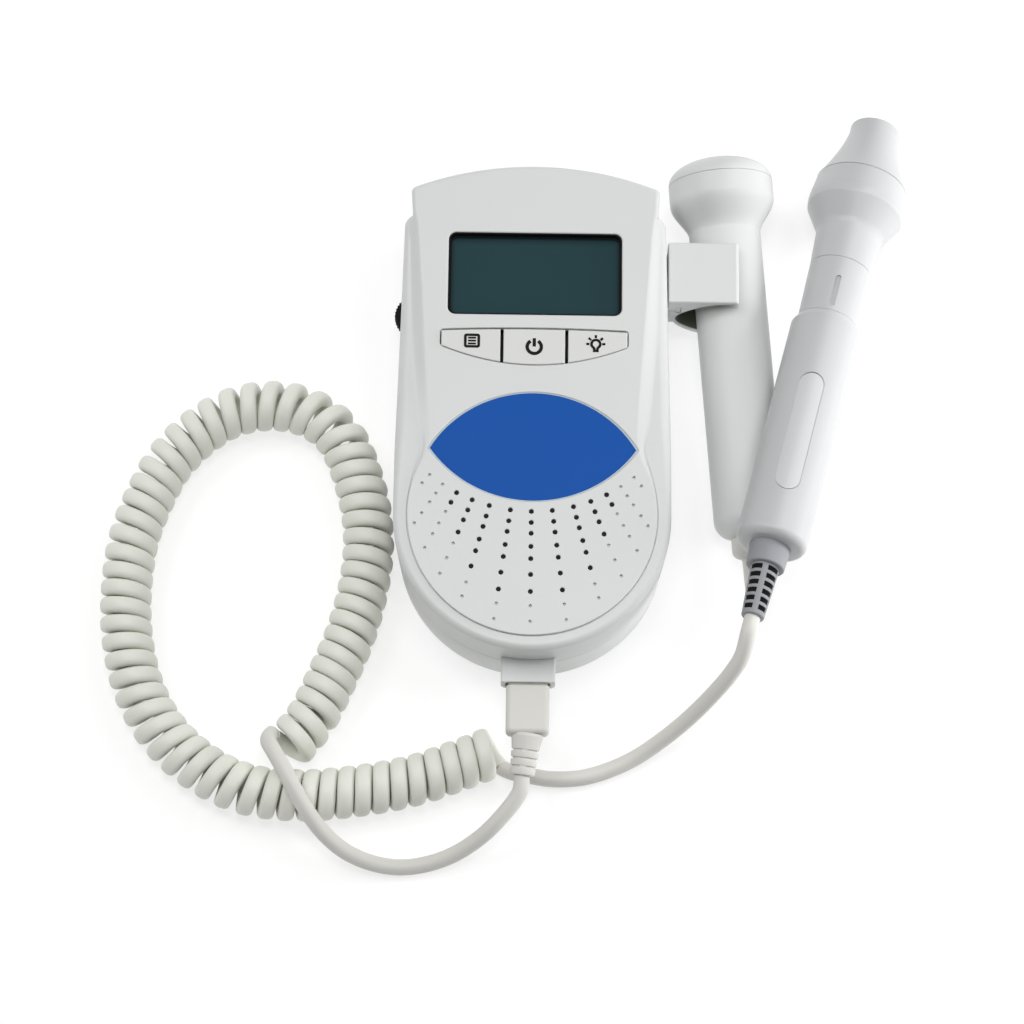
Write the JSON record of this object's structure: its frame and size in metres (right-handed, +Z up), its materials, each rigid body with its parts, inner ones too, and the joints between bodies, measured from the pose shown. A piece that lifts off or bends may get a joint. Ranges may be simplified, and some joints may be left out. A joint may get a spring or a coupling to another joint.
{
  "type": "fetal doppler monitor",
  "caption": "Pocket fetal heart monitor lying on its back, with a flat probe in a side holder and a pencil probe on a curly cord.",
  "frame": {"origin": "on the flat back of the case, under the middle of the case", "axes": "+Z up out of the face, +Y towards the screen end of the case, +X towards the probe holder"},
  "size_m": [0.2132, 0.2094, 0.0388],
  "materials": {
    "case": "pale cool grey moulded plastic, satin",
    "key": "pale grey moulded keys, matt",
    "screen": "dark teal screen, glossy",
    "label": "blue label, smooth",
    "mat": "black silicone, matt",
    "black_plastic": "black plastic, satin",
    "board": "green circuit board",
    "metal": "plated steel",
    "battery": "plain blue battery sleeve",
    "probe": "white moulded plastic, glossy",
    "boot": "grey strain relief, satin",
    "lead": "warm light grey cord sheath, matt",
    "cord": "light grey curly cord sheath, matt"
  },
  "bodies": {
    "case": {"front_shell": "case", "rear_shell": "case", "screen_lens": "screen", "screen_panel": "screen", "key_mat": "mat", "switch_menu": "black_plastic", "switch_power": "black_plastic", "switch_light": "black_plastic", "face_label": "label", "speaker": "black_plastic", "main_board": "board", "volume_pot": "metal", "earphone_jack": "black_plastic", "battery_left": "battery", "battery_right": "battery", "contact_low": "metal", "contact_high": "metal", "case_screw_1": "metal", "case_screw_2": "metal", "case_screw_3": "metal", "case_screw_4": "metal", "probe_socket": "case", "plug_lead": "lead", "cord_curl": "cord", "probe_lead": "lead"},
    "menu_key": {"button_menu": "key"},
    "power_key": {"button_power": "key"},
    "light_key": {"button_light": "key"},
    "battery_door": {"battery_cover": "case"},
    "volume_dial": {"volume_wheel": "black_plastic"},
    "holder": {"probe_holder": "case"},
    "flat_probe": {"flat_probe_body": "case", "flat_probe_face": "probe", "flat_probe_boot": "lead"},
    "pencil_probe": {"pencil_probe_tip": "probe", "pencil_probe_lens": "boot", "pencil_probe_head": "probe", "pencil_probe_neck": "probe", "pencil_probe_handle": "probe", "pencil_probe_label": "case", "pencil_probe_collar": "boot", "pencil_probe_boot": "boot"},
    "plug": {"plug_body": "lead", "plug_boot": "lead"}
  },
  "joints": [
    {"name": "menu_press", "type": "slide", "parent": "case", "child": "menu_key", "axis": [0, 0, -1], "range_m": [0, 0.0008], "stiffness_N_per_m": 700, "springref_m": -0.0008},
    {"name": "power_press", "type": "slide", "parent": "case", "child": "power_key", "axis": [0, 0, -1], "range_m": [0, 0.0008], "stiffness_N_per_m": 700, "springref_m": -0.0008},
    {"name": "light_press", "type": "slide", "parent": "case", "child": "light_key", "axis": [0, 0, -1], "range_m": [0, 0.0008], "stiffness_N_per_m": 700, "springref_m": -0.0008},
    {"name": "door_slide", "type": "slide", "parent": "case", "child": "battery_door", "axis": [0, 1, 0], "range_m": [0, 0.07]},
    {"name": "dial_turn", "type": "hinge", "parent": "case", "child": "volume_dial", "pos_m": [-0.0312, 0.03, 0.0146], "axis": [0, 0, 1], "range_deg": [-135, 135]},
    {"name": "holder_slide", "type": "slide", "parent": "case", "child": "holder", "axis": [0, 1, 0], "range_m": [0, 0.02]},
    {"name": "flat_probe_pull", "type": "slide", "parent": "holder", "child": "flat_probe", "axis": [-0.0653, 0.9946, 0.081], "range_m": [0, 0.105]},
    {"name": "pencil_probe_lift", "type": "slide", "parent": "case", "child": "pencil_probe", "axis": [0, 0, 1], "range_m": [0, 0.05], "deforming": ["probe_lead"]},
    {"name": "plug_pull", "type": "slide", "parent": "case", "child": "plug", "axis": [0, -1, 0], "range_m": [0, 0.008], "deforming": ["plug_lead"]}
  ]
}
